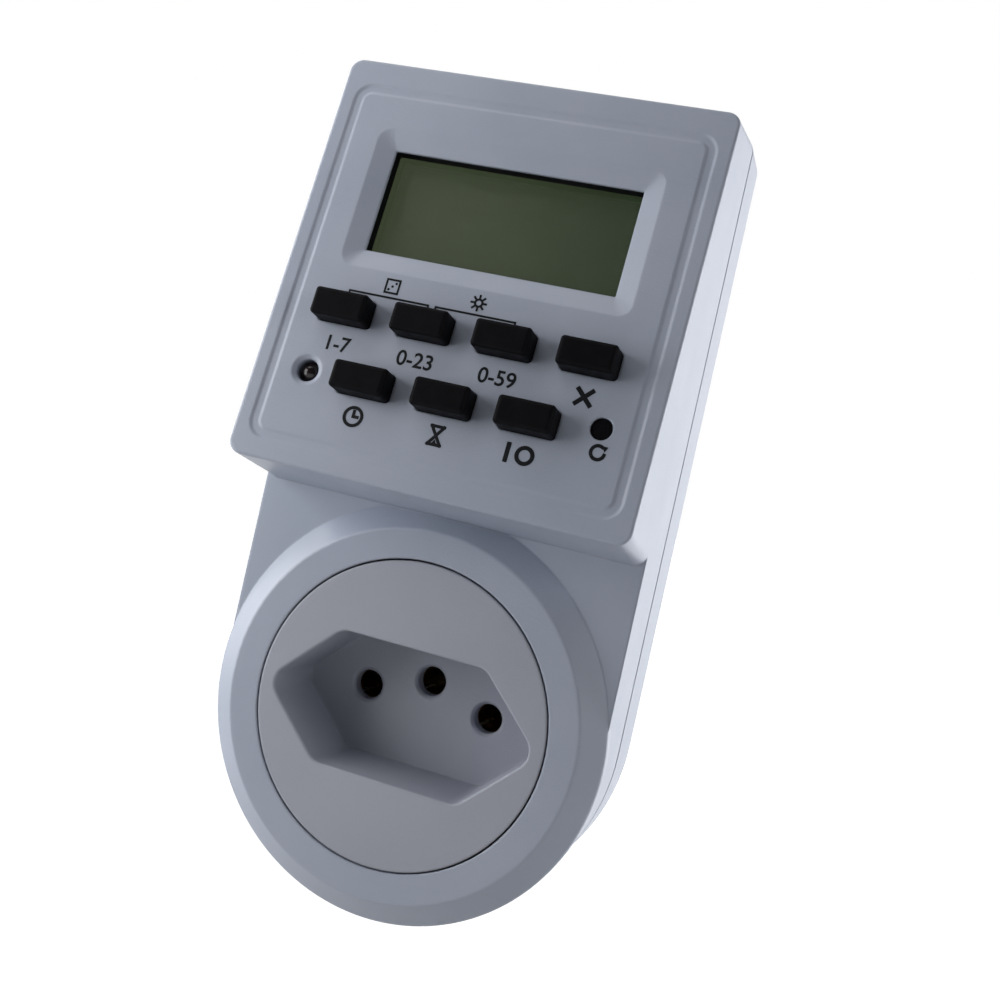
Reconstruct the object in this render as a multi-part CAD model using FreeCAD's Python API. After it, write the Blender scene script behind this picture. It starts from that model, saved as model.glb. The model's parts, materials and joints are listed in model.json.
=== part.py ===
# Plug-in timer switch: a control head with a display and keys stands above a socket outlet,
# and a three-pin plug at the back holds the whole in a wall outlet.
# Sizes are in millimetres. +Z is up, -Y faces the user and +Y points into the wall.
# The origin lies on the plug's engagement face, on the shared axis of plug and outlet.
import FreeCAD, Part
import math
import os
from FreeCAD import Placement, Rotation, Vector

# Pin pattern of plug and outlet
pin_spacing = 19.0
earth_offset = 3.0
pin_line_rise = 0.4
pin_radius = 2.0
pin_length = 19.0
pin_tip_round = 1.2
pin_root_radius = 2.4
pin_root_gap = 0.05
sleeve_length = 9.0
sleeve_wall = 0.6
entry_radius = 2.15
entry_chamfer = 0.4

# Casing
body_half_width = 28.7
body_depth = 25.3
top_rise = 0.3
top_fall = 1.7
top_corner_radius = 1.9
rear_shell_depth = 11.0
rear_edge_radius = 3.0
wall = 2.2
seam_gap = 0.6
lip_height = 1.6
lip_wall = 1.0
fit_gap = 0.1
edge_round = 0.5
least_corner = 0.4
cut_reach = 1.0

# Ring round the outlet
ring_proud = 2.6
ring_face_radius = 25.8
ring_base_radius = 29.2
ring_skirt = 1.5

# Control head
head_proud = 11.5
head_bottom_z = 30.7
face_height = 60.0
face_slope = 0.2
ramp_base_z = 27.7
face_low_corner = 2.0
ramp_base_corner = 1.8
face_edge_round = 0.3

# Groove that frames the face
groove_side_inset = 2.0
groove_low_inset = 2.7
groove_high_inset = 3.5
groove_width = 1.6
groove_depth = 0.18
groove_flank = 0.36
groove_corner = 2.7

# Display opening and what lies behind it
opening_side = 10.45
opening_low_s = 32.05
opening_top_margin = 12.7
bevel_width = 2.85
bevel_depth = 1.0
bevel_corner = 2.0
opening_lip = 0.4
opening_corner = 0.2
bezel_border = 2.35
bezel_low_border = 2.95
bezel_corner = 1.0
window_border = 1.25
window_low_border = 1.85
window_corner = 0.3
window_thickness = 0.8
window_depth = 3.3
glass_thickness = 2.8
strip_width = 1.8

# Keys
key_width = 7.8
key_height = 3.88
key_pitch = 11.75
key_proud = 3.5
key_corner = 0.5
key_top_round = 0.6
upper_row_s = 22.6
lower_row_s = 13.2
key_travel = 0.9
flange_margin = 0.7
flange_thickness = 0.8
stem_length = 2.0
stem_width = 5.0
stem_height = 2.4
reset_side = 7.4
reset_s = 14.1
reset_radius = 1.42
reset_sunk = 0.35

# Indicator lamp
lamp_side = 7.95
lamp_s = 13.4
lamp_radius = 1.5
lamp_sunk = 0.55
lamp_flange_radius = 1.9
lamp_flange_thickness = 1.0
lamp_lead_side = 1.27
lamp_hole_gap = 0.3
lamp_flange_n = 5.9
lead_radius = 0.25
lamp_sink_radius = 2.2
lamp_sink_depth = 0.4

# Logic board, which lies parallel to the face
board_thickness = 1.6
logic_n = 9.0
logic_side_gap = 1.5
logic_low_gap = 1.2
logic_high_gap = 4.4
logic_notch_width = 6.4
logic_notch_height = 5.2
logic_corner = 1.0
mat_thickness = 1.0
mat_side_gap = 0.8
mat_row_margin = 3.0
mat_corner = 1.5
dome_radius = 2.6
dome_top_radius = 2.0
dome_hollow_radius = 1.5
dome_roof = 0.9
pill_radius = 1.1
pill_thickness = 0.4
post_radius = 1.9
small_screw_radius = 1.0
small_screw_head = 1.8
small_screw_head_height = 1.5
small_screw_length = 6.0
post_edge_distance = 2.2
low_post_inset = 6.5
side_post_rise = 3.0
top_post_inset = 13.0
header_count = 6
header_pitch = 2.54
header_half_side = 0.32
header_edge = 2.8
header_stub = 1.2

# What the back of the logic board carries, placed by u and s
chip_cap_place = (9.0, 20.0)
chip_cap_radius = 5.0
chip_cap_top_radius = 3.6
chip_cap_height = 1.2
crystal_place = (9.0, 32.0)
crystal_radius = 1.0
crystal_length = 6.0
crystal_wire_reach = 1.2
crystal_wire = 0.3
battery_edge = 11.0
battery_s = 37.0
battery_radius = 5.8
battery_height = 5.4
battery_tab_length = 2.4
small_part_size = (2.0, 1.25, 0.6)
small_part_pitch = 3.0
small_part_rows = (12.0, 15.0)
small_part_count = 5

# Power board, which lies parallel to the rear wall
power_side_gap = 2.5
power_low_z = 33.5
power_high_gap = 13.5
power_standoff = 1.8
power_post_radius = 2.2
power_post_edge = 2.6

# What the power board carries: x, height above its lower edge, then the size
relay_place = (-9.0, 12.5)
relay_size = (19.0, 15.3, 15.5)
relay_pin_radius = 0.5
relay_pin_inset = 2.0
film_place = (11.0, 8.5)
film_size = (16.0, 13.9, 7.5)
case_standoff = 0.3
can_x = 16.5
large_can_rise = 18.1
large_can_size = (4.0, 11.5)
small_can_size = (3.15, 7.0)
varistor_place = (6.5, 16.2)
varistor_radius = 4.2
varistor_thickness = 3.6
varistor_standoff = 1.0
row_count = 4
row_relay_gap = 1.5
row_header_gap = 2.7
diode_columns = (-15.4, -4.4)
diode_size = (5.2, 1.35)
resistor_columns = (-15.0, -3.0)
resistor_size = (6.5, 1.2)
fusible_x = 11.5
fusible_size = (13.0, 2.0)
wire_reach = 2.0
wire_radius = 0.3
transistor_place = (7.0, 23.5)
transistor_radius = 2.3
transistor_height = 4.6
transistor_standoff = 2.0
transistor_leg_pitch = 1.27

# Socket insert
insert_rim = 0.93
insert_gap = 0.28
insert_edge_round = 0.3
insert_plate = 2.2
insert_skirt_wall = 2.0
flange_width = 2.2
insert_flange = 1.85
recess_depth = 11.5
recess_floor = 2.4
recess_wall = 1.8
recess_half_width = 20.37
recess_half_height = 9.49
recess_flat_half = 10.78
recess_corner = 2.75
recess_drop = 0.15
recess_draft = 0.4

# Plug boss
plug_boss_depth = 10.0
boss_clearance = 0.6
boss_wall = 1.4
boss_end_wall = 2.5
boss_edge_round = 0.8

# Contacts and busbars
contact_outer_radius = 2.95
contact_bore_radius = 2.15
contact_length = 15.5
contact_slot = 0.5
contact_slot_length = 6.5
contact_slot_turn = 45.0
clip_wall = 0.5
clip_width = 1.2
clip_gap = 1.4
pin_head_radius = 3.0
pin_head_thickness = 1.15
strap = 0.8
strap_gap = 0.2
ring_strap_width = 0.8
leg_side_gap = 0.4
leg_half_height = 1.6
riser_width = 3.4
carrier_hole_gap = 0.05
carrier_side_wall = 0.9
carrier_low_z = -4.2
carrier_high_z = 4.6
carrier_mid_half_width = 4.6
carrier_mid_high_z = 7.8
output_leg_half_width = 2.0
output_leg_x = -9.0
board_overlap = 1.8

# Housing screws
low_screw_angle = 37.6
top_screw_drop = 4.0
screw_boss_gap = 0.14
screw_boss_radius = 2.9
rear_boss_radius = 3.8
screw_core_radius = 1.3
screw_hole_radius = 1.6
screw_head_radius = 2.7
screw_head_height = 2.0
counterbore_radius = 3.0
counterbore_depth = 3.4
screw_reach = 8.4
screw_spare = 1.0
clamp_post_radius = 1.6
clamp_post_angle = 19.5

# Places that follow from the sizes above
rear_y = -plug_boss_depth
disc_y = rear_y - body_depth
front_y = disc_y + ring_proud
seam_y = rear_y - rear_shell_depth
front_inner_y = front_y + wall
rear_inner_y = rear_y - wall
face_low_y = disc_y - head_proud
tilt = math.atan(face_slope)
body_top_z = head_bottom_z + face_height * math.cos(tilt)
seam_top_z = body_top_z + top_rise
rear_top_z = seam_top_z - top_fall
opening_half_width = body_half_width - opening_side
opening_high_s = face_height - opening_top_margin
reset_u = body_half_width - reset_side
lamp_u = lamp_side - body_half_width
face_high_y = face_low_y + face_height * math.sin(tilt)
insert_radius = recess_half_width + insert_rim
flange_radius = insert_radius + flange_width
recess_floor_y = disc_y + recess_depth
cup_back_y = recess_floor_y + recess_floor
pin_head_front_y = -boss_end_wall - pin_head_thickness - 0.05
strap_front_y = pin_head_front_y - strap
contact_front_y = cup_back_y + fit_gap
contact_back_y = contact_front_y + contact_length
carrier_front_y = cup_back_y + fit_gap
carrier_back_y = rear_inner_y - fit_gap
carrier_hole_radius = contact_outer_radius + carrier_hole_gap
carrier_half_width = pin_spacing / 2 + carrier_hole_radius + carrier_side_wall
leg_x = carrier_half_width + leg_side_gap + strap / 2
ring_strap_front_y = rear_inner_y + strap
logic_back_n = logic_n + board_thickness
power_back_y = rear_inner_y - power_standoff
power_front_y = power_back_y - board_thickness
flange_n = wall + fit_gap
stem_n = flange_n + flange_thickness
mat_n = logic_n - mat_thickness
pocket_n = bevel_depth + opening_lip
glass_n = window_depth + window_thickness
strip_n = glass_n + glass_thickness
logic_half_width = body_half_width - wall - logic_side_gap
logic_low_s = wall + logic_low_gap
logic_high_s = face_height - logic_high_gap
logic_notch_s = logic_high_s - logic_notch_height
mat_half_width = logic_half_width - mat_side_gap
mat_low_s = lower_row_s - key_height / 2 - mat_row_margin
mat_high_s = upper_row_s + key_height / 2 + mat_row_margin
dome_height = mat_n - stem_n - stem_length - key_travel - fit_gap
board_posts = [(logic_half_width - low_post_inset, logic_low_s + post_edge_distance),
               (logic_half_width - post_edge_distance, mat_high_s + side_post_rise),
               (logic_half_width - top_post_inset, logic_high_s - post_edge_distance)]
battery_u = battery_edge - logic_half_width
power_high_z = body_top_z - power_high_gap
header_z = power_high_z - header_edge
first_row = relay_place[1] + relay_size[2] / 2 + row_relay_gap
last_row = header_z - power_low_z - row_header_gap
power_rows = [first_row + (last_row - first_row) * i / (row_count - 1) for i in range(row_count)]
small_can_rise = (large_can_rise + large_can_size[0] + last_row - fusible_size[1]) / 2
power_half_width = body_half_width - wall - power_side_gap
power_post_x = power_half_width - power_post_edge
power_posts = [(power_post_x, power_low_z + power_post_edge),
               (power_post_x, power_high_z - power_post_edge)]
inner_half_width = body_half_width - wall
boss_inset = screw_boss_radius + screw_boss_gap
low_screw = (math.cos(math.radians(low_screw_angle)) * (inner_half_width - boss_inset),
             -math.sin(math.radians(low_screw_angle)) * (inner_half_width - boss_inset))
top_screw = (inner_half_width - boss_inset - 0.8, rear_top_z - wall - top_screw_drop)
clamp_reach = (insert_radius + flange_radius) / 2 + fit_gap
clamp_post = (math.cos(math.radians(clamp_post_angle)) * clamp_reach,
              math.sin(math.radians(clamp_post_angle)) * clamp_reach)
screw_seat_y = rear_y - counterbore_depth
screw_end_y = seam_y - screw_reach
row_keys = [("key_week", -1.5, upper_row_s), ("key_hour", -0.5, upper_row_s),
            ("key_minute", 0.5, upper_row_s), ("key_clear", 1.5, upper_row_s),
            ("key_clock", -1.0, lower_row_s), ("key_timer", 0.0, lower_row_s),
            ("key_mode", 1.0, lower_row_s)]
pole_x = pin_spacing / 2
pin_line_z = pin_line_rise
earth_z = pin_line_rise + earth_offset
recess_z = -recess_drop


# Building blocks
def box(x0, x1, y0, y1, z0, z1):
    return Part.makeBox(x1 - x0, y1 - y0, z1 - z0, Vector(x0, y0, z0))


def rod(x, z, radius, y0, y1):
    return Part.makeCylinder(radius, y1 - y0, Vector(x, y0, z), Vector(0, 1, 0))


def taper(x, z, radius0, radius1, y0, y1):
    return Part.makeCone(radius0, radius1, y1 - y0, Vector(x, y0, z), Vector(0, 1, 0))


def rod_x(y, z, radius, x0, x1):
    return Part.makeCylinder(radius, x1 - x0, Vector(x0, y, z), Vector(1, 0, 0))


def rounded_outline(corners, y):
    """Closed wire at depth y through (x, z, radius) corners."""
    stops = []
    count = len(corners)
    for i in range(count):
        x, z, radius = corners[i]
        here = Vector(x, y, z)
        back = Vector(corners[i - 1][0], y, corners[i - 1][1]).sub(here).normalize()
        ahead = Vector(corners[(i + 1) % count][0], y, corners[(i + 1) % count][1]).sub(here).normalize()
        half = back.getAngle(ahead) / 2
        reach = radius / math.tan(half)
        inward = back.add(ahead).normalize()
        middle = here.add(inward.multiply(radius / math.sin(half) - radius))
        stops.append((here.add(back.multiply(reach)), middle, here.add(ahead.multiply(reach))))
    edges = []
    for i in range(count):
        start, middle, end = stops[i]
        edges.append(Part.Arc(start, middle, end).toShape())
        edges.append(Part.LineSegment(end, stops[(i + 1) % count][0]).toShape())
    return Part.Wire(edges)


def rectangle(x0, x1, z0, z1, low_radius, high_radius, y):
    return rounded_outline([(x0, z0, low_radius), (x1, z0, low_radius),
                            (x1, z1, high_radius), (x0, z1, high_radius)], y)


def prism(wire, depth):
    return Part.Face(wire).extrude(Vector(0, depth, 0))


def loft(first, second):
    return Part.makeLoft([first, second], True, True)


def fuse_all(solids):
    return solids[0].fuse(solids[1:]).removeSplitter()


def cut_all(solid, tools):
    return solid.cut(tools)


def both_sides(places):
    return [(side * x, z) for x, z in places for side in (-1, 1)]


def on_face(shape):
    """Moves a shape from face terms (x across, y inward, z up the slope) to its place."""
    moved = shape.copy()
    moved.Placement = Placement(Vector(0, face_low_y, head_bottom_z),
                                Rotation(Vector(1, 0, 0), -math.degrees(tilt)))
    return moved


def face_point(u, n, s):
    """Real place of a point given across, inward and up the slope of the face."""
    y = face_low_y + n * math.cos(tilt) + s * math.sin(tilt)
    z = head_bottom_z - n * math.sin(tilt) + s * math.cos(tilt)
    return Vector(u, y, z)


def face_depth(point):
    """Distance of a real point behind the plane of the face."""
    return (point.y - face_low_y) * math.cos(tilt) - (point.z - head_bottom_z) * math.sin(tilt)


def round_edges(solid, radius, wanted):
    edges = [edge for edge in solid.Edges if wanted(edge)]
    return solid.makeFillet(radius, edges)


def top_z_at(y):
    """Height of the casing's top, which rises to the seam and falls behind it."""
    if y < seam_y:
        return body_top_z + top_rise * (y - face_high_y) / (seam_y - face_high_y)
    return seam_top_z - top_fall * (y - seam_y) / (rear_y - seam_y)


# Casing shapes
def top_corner(inset):
    return max(top_corner_radius - inset, least_corner)


def casing_outline(inset, y):
    """Outline at one depth, set in from the outer wall: half-round foot, rounded top corners."""
    half = body_half_width - inset
    top = top_z_at(y) - inset
    radius = top_corner(inset)
    flat = half - radius
    skew = radius * (1 - math.cos(math.pi / 4))
    foot = Part.Arc(Vector(half, y, 0), Vector(0, y, -half), Vector(-half, y, 0)).toShape()
    left = Part.LineSegment(Vector(-half, y, 0), Vector(-half, y, top - radius)).toShape()
    left_corner = Part.Arc(Vector(-half, y, top - radius), Vector(-half + skew, y, top - skew),
                           Vector(-flat, y, top)).toShape()
    across = Part.LineSegment(Vector(-flat, y, top), Vector(flat, y, top)).toShape()
    right_corner = Part.Arc(Vector(flat, y, top), Vector(half - skew, y, top - skew),
                            Vector(half, y, top - radius)).toShape()
    right = Part.LineSegment(Vector(half, y, top - radius), Vector(half, y, 0)).toShape()
    return Part.Wire([foot, left, left_corner, across, right_corner, right])


def casing_block(inset, y0, y1):
    if not y0 < seam_y < y1:
        return loft(casing_outline(inset, y0), casing_outline(inset, y1))
    return fuse_all([casing_block(inset, y0, seam_y), casing_block(inset, seam_y, y1)])


def rear_body():
    """Rear half of the body: a flat-sided block cut to the sloping top, then rounded."""
    half = body_half_width
    y0 = seam_y + seam_gap / 2
    foot = Part.Arc(Vector(half, y0, 0), Vector(0, y0, -half), Vector(-half, y0, 0)).toShape()
    sides = Part.makePolygon([Vector(-half, y0, 0), Vector(-half, y0, seam_top_z),
                              Vector(half, y0, seam_top_z), Vector(half, y0, 0)])
    block = prism(Part.Wire([foot] + sides.Edges), rear_y - y0)
    above = [Vector(-half, y0, top_z_at(y0)), Vector(-half, y0, seam_top_z + 1),
             Vector(-half, rear_y, seam_top_z + 1), Vector(-half, rear_y, rear_top_z)]
    wedge = Part.Face(Part.makePolygon(above + above[:1])).extrude(Vector(2 * half, 0, 0))
    block = block.cut(wedge)
    block = round_edges(block, rear_edge_radius, lambda edge: edge.BoundBox.YMin > rear_y - 0.01)
    return round_edges(block, top_corner_radius,
                       lambda edge: edge.BoundBox.ZMin > rear_top_z - rear_edge_radius
                       and edge.BoundBox.XMax - edge.BoundBox.XMin < half
                       and edge.BoundBox.YMax - edge.BoundBox.YMin > 0.01)


def head_solid(inset, front_n, base_y):
    """Head between a plane parallel to the face and a plane parallel to the wall."""
    half = body_half_width - inset
    low_corner = max(face_low_corner - inset, least_corner)
    base_corner = max(ramp_base_corner - inset, least_corner)
    high_corner = top_corner(inset)
    face = rectangle(-half, half, inset, face_height - inset, low_corner, high_corner, front_n)
    face = on_face(face)
    base = rectangle(-half, half, ramp_base_z + inset, top_z_at(base_y) - inset,
                     base_corner, high_corner, base_y)
    return loft(face, base)


def outer_head():
    """The head's outer form, with the edge of its face rounded."""
    head = head_solid(0, 0, front_y)
    wanted = [edge for edge in head.Edges if all(abs(face_depth(v.Point)) < 0.01 for v in edge.Vertexes)]
    return head.makeFillet(face_edge_round, wanted)


def display_pocket():
    half = opening_half_width + bezel_border + fit_gap
    rim = bezel_low_border + fit_gap
    return rectangle(-half, half, opening_low_s - rim, opening_high_s + rim,
                     bezel_corner, bezel_corner, pocket_n)


def groove_outline(inset, n):
    """Outline parallel to the groove's outer edge, set in by a distance, at depth n."""
    half = body_half_width - groove_side_inset - inset
    corner = groove_corner - inset
    return rectangle(-half, half, groove_low_inset + inset, face_height - groove_high_inset - inset,
                     corner, corner, n)


def face_cuts():
    """Groove, display opening, key holes and round holes, in face terms."""
    outer = loft(groove_outline(0, 0), groove_outline(groove_flank, groove_depth))
    inner = loft(groove_outline(groove_width, 0),
                 groove_outline(groove_width - groove_flank, groove_depth))
    groove = outer.cut(inner)
    wide = opening_half_width + bevel_width
    bevel = loft(rectangle(-wide, wide, opening_low_s - bevel_width, opening_high_s + bevel_width,
                           bevel_corner, bevel_corner, 0),
                 rectangle(-opening_half_width, opening_half_width, opening_low_s, opening_high_s,
                           opening_corner, opening_corner, bevel_depth))
    opening = prism(rectangle(-opening_half_width, opening_half_width, opening_low_s, opening_high_s,
                              opening_corner, opening_corner, bevel_depth - 0.01), wall)
    pocket = prism(display_pocket(), wall)
    cuts = [groove, bevel, opening, pocket]
    for name, column, s in row_keys:
        u = column * key_pitch
        half_u, half_s = key_width / 2 + fit_gap, key_height / 2 + fit_gap
        hole = rectangle(u - half_u, u + half_u, s - half_s, s + half_s,
                         key_corner + fit_gap, key_corner + fit_gap, -cut_reach)
        cuts.append(prism(hole, wall + 2 * cut_reach))
    cuts.append(rod(reset_u, reset_s, reset_radius + fit_gap, -cut_reach, wall + cut_reach))
    cuts.append(rod(lamp_u, lamp_s, lamp_radius + fit_gap, -cut_reach, wall + cut_reach))
    cuts.append(taper(lamp_u, lamp_s, lamp_sink_radius, lamp_radius + fit_gap, 0, lamp_sink_depth))
    return cuts


def outlet_ring():
    cone = taper(0, 0, ring_face_radius, ring_base_radius, disc_y, front_y)
    skirt = rod(0, 0, ring_base_radius, front_y, front_y + ring_skirt)
    ring = cone.fuse(skirt)
    return round_edges(ring, edge_round, lambda edge: edge.BoundBox.YMax < front_y + 0.01
                       and edge.BoundBox.YMax - edge.BoundBox.YMin < 0.01)


def front_housing():
    body = casing_block(0, front_y, seam_y - seam_gap / 2)
    head = outer_head()
    shell = fuse_all([body, head, outlet_ring()])
    cavity = casing_block(wall, front_inner_y, seam_y)
    head_cavity = head_solid(wall, wall, front_inner_y)
    rebate = casing_block(wall - lip_wall - fit_gap, seam_y - lip_height - fit_gap, seam_y)
    shell = cut_all(shell, [cavity, head_cavity, rebate])
    bosses = [rod(x, z, screw_boss_radius, front_inner_y - 0.2, seam_y - fit_gap)
              for x, z in both_sides([low_screw])]
    for x, z in both_sides([top_screw]):
        pillar = rod(x, z, screw_boss_radius, face_low_y, seam_y - fit_gap)
        bosses.append(pillar.common(head_solid(wall / 2, wall / 2, seam_y)))
    for u, s in both_sides(board_posts):
        bosses.append(on_face(rod(u, s, post_radius, wall / 2, logic_n)))
    shell = fuse_all([shell] + bosses)
    tools = [on_face(cut) for cut in face_cuts()]
    tools.append(rod(0, 0, insert_radius + insert_gap, disc_y - 1, front_inner_y + 0.5))
    for x, z in both_sides([low_screw, top_screw]):
        tools.append(rod(x, z, screw_core_radius + 0.05, screw_end_y - screw_spare, seam_y))
    for u, s in both_sides(board_posts):
        tools.append(on_face(rod(u, s, small_screw_radius + 0.05, logic_n - small_screw_length,
                                 logic_n + 1)))
    return cut_all(shell, tools)


def hexagon(inset, y):
    """Outline of the outlet's recess and the plug's boss, set in by a distance."""
    width, height, flat = recess_half_width, recess_half_height, recess_flat_half
    slant = math.hypot(width - flat, height)
    tip = width - inset * slant / height
    edge = flat - inset * (slant - (width - flat)) / height
    high = height - inset
    radius = max(recess_corner - inset, least_corner)
    corners = [(tip, 0), (edge, high), (-edge, high), (-tip, 0), (-edge, -high), (edge, -high)]
    return rounded_outline([(x, z + recess_z, radius) for x, z in corners], y)


def plug_holes(radius, y0, y1):
    return [rod(-pole_x, pin_line_z, radius, y0, y1), rod(pole_x, pin_line_z, radius, y0, y1),
            rod(0, earth_z, radius, y0, y1)]


def rear_housing():
    body = rear_body()
    boss = prism(hexagon(boss_clearance, rear_y - 0.2), plug_boss_depth + 0.2)
    boss = round_edges(boss, boss_edge_round,
                       lambda edge: all(abs(v.Point.y) < 0.01 for v in edge.Vertexes)
                       and abs(edge.BoundBox.YMax - edge.BoundBox.YMin) < 0.01)
    lip_y = seam_y - lip_height
    lip = casing_block(wall - lip_wall, lip_y, seam_y + wall)
    shell = fuse_all([body, boss, lip])
    cavity = casing_block(wall, lip_y - 1, rear_inner_y)
    boss_cavity = prism(hexagon(boss_clearance + boss_wall, rear_inner_y - 0.5),
                        -boss_end_wall - rear_inner_y + 0.5)
    shell = cut_all(shell, [cavity, boss_cavity])
    inner = casing_block(wall / 2, lip_y, rear_y - wall / 2)
    bosses = []
    for x, z in both_sides([low_screw, top_screw]):
        bosses.append(rod(x, z, rear_boss_radius, seam_y + fit_gap, rear_y - wall / 2).common(inner))
    for x, z in both_sides([clamp_post, (clamp_post[0], -clamp_post[1])]):
        bosses.append(rod(x, z, clamp_post_radius, front_inner_y + insert_flange, rear_y - wall / 2))
    for x, z in both_sides(power_posts):
        bosses.append(rod(x, z, power_post_radius, power_back_y, rear_y - wall / 2))
    shell = fuse_all([shell] + bosses)
    tools = plug_holes(pin_root_radius + pin_root_gap, -boss_end_wall - 1, 1)
    for x, z in both_sides([low_screw, top_screw]):
        tools.append(rod(x, z, screw_hole_radius, seam_y - 1, rear_y + 1))
        tools.append(rod(x, z, counterbore_radius, rear_y - counterbore_depth, rear_y + 1))
    for x, z in both_sides(power_posts):
        tools.append(rod(x, z, small_screw_radius + 0.05, power_back_y - 1, rear_y - wall / 2 + 0.1))
    return cut_all(shell, tools)


# Socket side
def socket_insert():
    plate = rod(0, 0, insert_radius, disc_y, disc_y + insert_plate)
    skirt_back = front_inner_y + insert_flange
    skirt = rod(0, 0, insert_radius, disc_y, skirt_back)
    skirt = skirt.cut(rod(0, 0, insert_radius - insert_skirt_wall, disc_y + insert_plate,
                          skirt_back + 1))
    flange = rod(0, 0, flange_radius, front_inner_y, skirt_back)
    flange = flange.cut(rod(0, 0, insert_radius - insert_skirt_wall, front_inner_y - 1, skirt_back + 1))
    notches = [rod(x, z, screw_boss_radius + insert_gap, front_inner_y - 0.01, skirt_back + 1)
               for x, z in both_sides([low_screw])]
    flange = cut_all(flange, notches)
    skirt = cut_all(skirt, notches)
    cup = prism(hexagon(-recess_wall, disc_y + insert_plate / 2), cup_back_y - disc_y - insert_plate / 2)
    insert = fuse_all([plate, skirt, flange, cup])
    recess = loft(hexagon(0, disc_y), hexagon(recess_draft, recess_floor_y))
    insert = insert.cut([recess] + plug_holes(entry_radius, recess_floor_y - 1, cup_back_y + 1))
    mouths = [taper(x, z, entry_radius + entry_chamfer, entry_radius, recess_floor_y,
                    recess_floor_y + entry_chamfer)
              for x, z in [(-pole_x, pin_line_z), (pole_x, pin_line_z), (0, earth_z)]]
    insert = insert.cut(mouths)
    return round_edges(insert, insert_edge_round,
                       lambda edge: all(abs(v.Point.y - disc_y) < 0.01 for v in edge.Vertexes)
                       and edge.BoundBox.DiagonalLength < 1.9 * insert_radius
                       and abs(edge.BoundBox.YMax - edge.BoundBox.YMin) < 0.01)


def contact_carrier():
    wide = box(-carrier_half_width, carrier_half_width, carrier_front_y, carrier_back_y,
               carrier_low_z, carrier_high_z)
    middle = box(-carrier_mid_half_width, carrier_mid_half_width, carrier_front_y, carrier_back_y,
                 carrier_low_z, carrier_mid_high_z)
    block = fuse_all([wide, middle])
    return cut_all(block, plug_holes(carrier_hole_radius, carrier_front_y - 1, carrier_back_y + 1))


def contact(x, z):
    """Split brass sleeve that grips an inserted pin."""
    sleeve = rod(x, z, contact_outer_radius, contact_front_y, contact_back_y)
    sleeve = sleeve.cut(rod(x, z, contact_bore_radius, contact_front_y - 1, contact_back_y + 1))
    reach = contact_outer_radius + 1
    slot_end = contact_front_y + contact_slot_length
    half = contact_slot / 2
    upright = box(x - half, x + half, contact_front_y - 1, slot_end, z - reach, z + reach)
    level = box(x - reach, x + reach, contact_front_y - 1, slot_end, z - half, z + half)
    for slot in (upright, level):
        slot.rotate(Vector(x, 0, z), Vector(0, 1, 0), contact_slot_turn)
    return sleeve.cut([upright, level])


def pin_tip(x, z, y0):
    tip = rod(x, z, pin_radius, y0, pin_length)
    return round_edges(tip, pin_tip_round,
                       lambda edge: abs(edge.BoundBox.YMin - pin_length) < 0.01
                       and edge.BoundBox.XMax - edge.BoundBox.XMin > pin_radius)


def pin_head(x, z):
    return rod(x, z, pin_head_radius, pin_head_front_y, -boss_end_wall - 0.05)


def sleeved_pin(x):
    core = rod(x, pin_line_z, pin_radius - sleeve_wall, -boss_end_wall - 0.1, sleeve_length + 0.1)
    return fuse_all([pin_head(x, pin_line_z), core, pin_tip(x, pin_line_z, sleeve_length)])


def earth_pin():
    root = rod(0, earth_z, pin_root_radius, -boss_end_wall - 0.1, 0)
    return fuse_all([pin_head(0, earth_z), root, pin_tip(0, earth_z, -0.1)])


def pin_sleeves():
    """Insulation on the line and neutral pins, with a thicker root inside the end wall."""
    sleeves = []
    root_y = -boss_end_wall - 0.05
    for x in (-pole_x, pole_x):
        root = rod(x, pin_line_z, pin_root_radius, root_y, 0)
        sleeve = rod(x, pin_line_z, pin_radius, -0.1, sleeve_length)
        core = rod(x, pin_line_z, pin_radius - sleeve_wall, root_y - 1, sleeve_length + 1)
        sleeves.append(root.fuse(sleeve).cut(core))
    return Part.Compound(sleeves)


def ring_strap(x, z):
    ring = rod(x, z, contact_outer_radius + ring_strap_width, rear_inner_y, ring_strap_front_y)
    return ring.cut(rod(x, z, contact_outer_radius, rear_inner_y - 1, ring_strap_front_y + 1))


def feed_busbar(side):
    """Strap from a plug pin's head, forward past the carrier and up to the power board."""
    inner, outer = sorted((side * (leg_x - strap / 2), side * (leg_x + strap / 2)))
    foot_low, foot_high = sorted((side * (pole_x - pin_radius), side * (leg_x + strap / 2)))
    low, high = recess_z - leg_half_height, recess_z + leg_half_height
    riser_front = power_front_y - riser_width
    foot = box(foot_low, foot_high, strap_front_y, pin_head_front_y, low, high)
    leg = box(inner, outer, riser_front, pin_head_front_y, low, high)
    riser = box(inner, outer, riser_front, power_front_y, low, power_low_z + board_overlap)
    return foot, leg, riser


def line_in_busbar():
    return fuse_all(list(feed_busbar(-1)))


def neutral_busbar():
    foot, leg, riser = feed_busbar(1)
    tab = box(pole_x, leg_x, rear_inner_y, ring_strap_front_y,
              recess_z - leg_half_height, recess_z + leg_half_height)
    tab = tab.cut(rod(pole_x, pin_line_z, contact_outer_radius, rear_inner_y - 1,
                      ring_strap_front_y + 1))
    return fuse_all([foot, leg, riser, tab, ring_strap(pole_x, pin_line_z)])


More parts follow.
